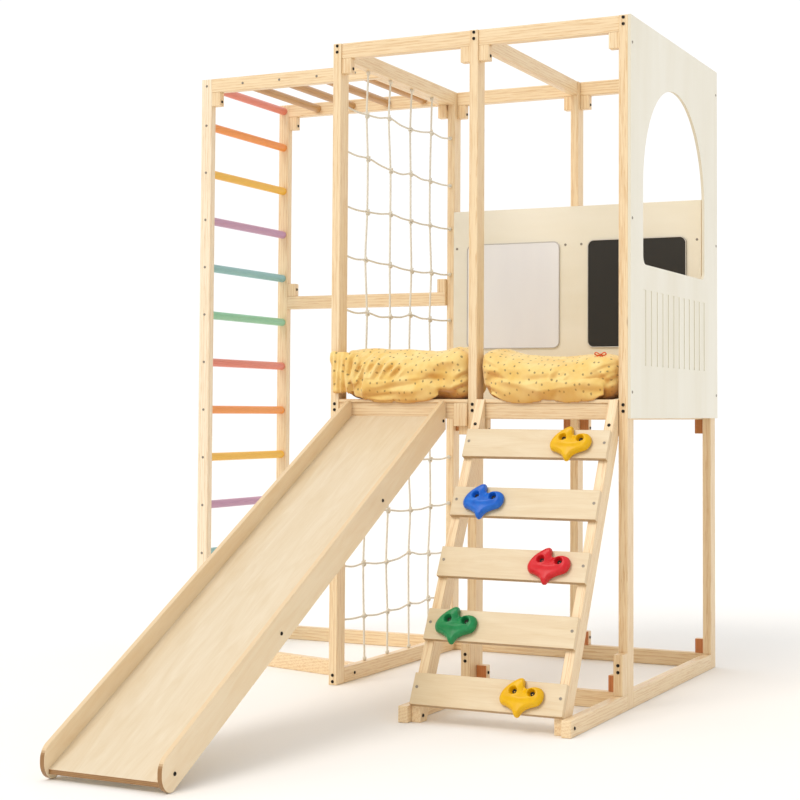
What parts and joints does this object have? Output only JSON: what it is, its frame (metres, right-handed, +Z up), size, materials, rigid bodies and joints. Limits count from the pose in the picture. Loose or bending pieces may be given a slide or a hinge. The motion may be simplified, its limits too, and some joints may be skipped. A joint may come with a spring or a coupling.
{
  "type": "toddler slide",
  "caption": "Wooden indoor play gym: a two-bay tower with a slide, climbing board with holds, rope net, coloured ladder, monkey bars and drawing boards.",
  "frame": {"origin": "On the floor, under the middle of the whole object's box.", "axes": "+Z up. +Y points to the back of the tower, and the slide runs down towards -Y. +X is to the right seen from the front, with the ladder at -X."},
  "size_m": [1.5432, 2.248, 1.85],
  "materials": {
    "pine": "clear-lacquered planed pine",
    "deck_pine": "clear-lacquered pine boards",
    "dowel": "clear-lacquered round dowel",
    "paint_red": "satin paint on a round dowel",
    "paint_orange": "satin paint on a round dowel",
    "paint_yellow": "satin paint on a round dowel",
    "paint_mauve": "satin paint on a round dowel",
    "paint_blue": "satin paint on a round dowel",
    "paint_green": "satin paint on a round dowel",
    "plywood": "clear-lacquered plywood with dark ply edges",
    "slide_board": "smooth lacquered birch-faced board",
    "cream_board": "cream satin-painted board",
    "whiteboard": "dry-wipe coated board",
    "chalkboard": "matt chalkboard coating",
    "rope": "twisted natural-white rope",
    "cushion_fabric": "yellow cotton with small dark dots",
    "hold_yellow": "moulded plastic",
    "hold_green": "moulded plastic",
    "hold_red": "moulded plastic",
    "hold_blue": "moulded plastic",
    "black_bolt": "black-coated bolt head",
    "screw": "zinc-plated countersunk screw"
  },
  "bodies": {
    "frame": {"post_front_left": "pine", "post_front_middle": "pine", "post_front_right": "pine", "post_rear_left": "pine", "post_rear_middle": "pine", "post_rear_right": "pine", "top_rails_front": "pine", "top_rails_rear": "pine", "top_rails_side": "pine", "deck_rails_front": "pine", "deck_rails_rear": "pine", "base_rails_side": "pine", "base_rails_cross": "pine", "deck_joists": "pine", "ladder_post_front": "pine", "ladder_post_rear": "pine", "monkey_rail_front": "pine", "monkey_rail_rear": "pine", "monkey_end_rail": "pine", "mid_rail": "pine", "base_rail_ladder": "pine", "base_rail_oblique": "pine", "cleats_top": "pine", "cleats_deck": "pine", "cleats_low": "pine", "climb_stringer_left": "pine", "climb_stringer_right": "pine", "climb_planks": "pine", "floor_beams": "pine", "foot_blocks": "pine", "panel_battens": "pine", "slide_cross_bars": "pine", "deck_boards": "deck_pine", "monkey_bars": "dowel", "rungs_red": "paint_red", "rungs_orange": "paint_orange", "rungs_yellow": "paint_yellow", "rungs_mauve": "paint_mauve", "rungs_blue": "paint_blue", "rungs_green": "paint_green", "slide_side_left": "plywood", "slide_side_right": "plywood", "slide_bed": "slide_board", "back_panel": "cream_board", "side_panel": "cream_board", "whiteboard": "whiteboard", "chalkboard": "chalkboard", "net_ropes_upright": "rope", "net_ropes_level": "rope", "hold_yellow_low": "hold_yellow", "hold_yellow_high": "hold_yellow", "hold_green": "hold_green", "hold_red": "hold_red", "hold_blue": "hold_blue", "frame_bolts": "black_bolt", "slide_bolts": "black_bolt", "panel_screws": "screw", "wood_screws": "screw"},
    "cushion_left": {"cushion_left": "cushion_fabric"},
    "cushion_right": {"cushion_right": "cushion_fabric"}
  },
  "joints": [
    {"name": "cushion_left_lift", "type": "slide", "parent": "frame", "child": "cushion_left", "axis": [0, 0, 1], "range_m": [0, 0.3]},
    {"name": "cushion_right_lift", "type": "slide", "parent": "frame", "child": "cushion_right", "axis": [0, 0, 1], "range_m": [0, 0.3]}
  ]
}
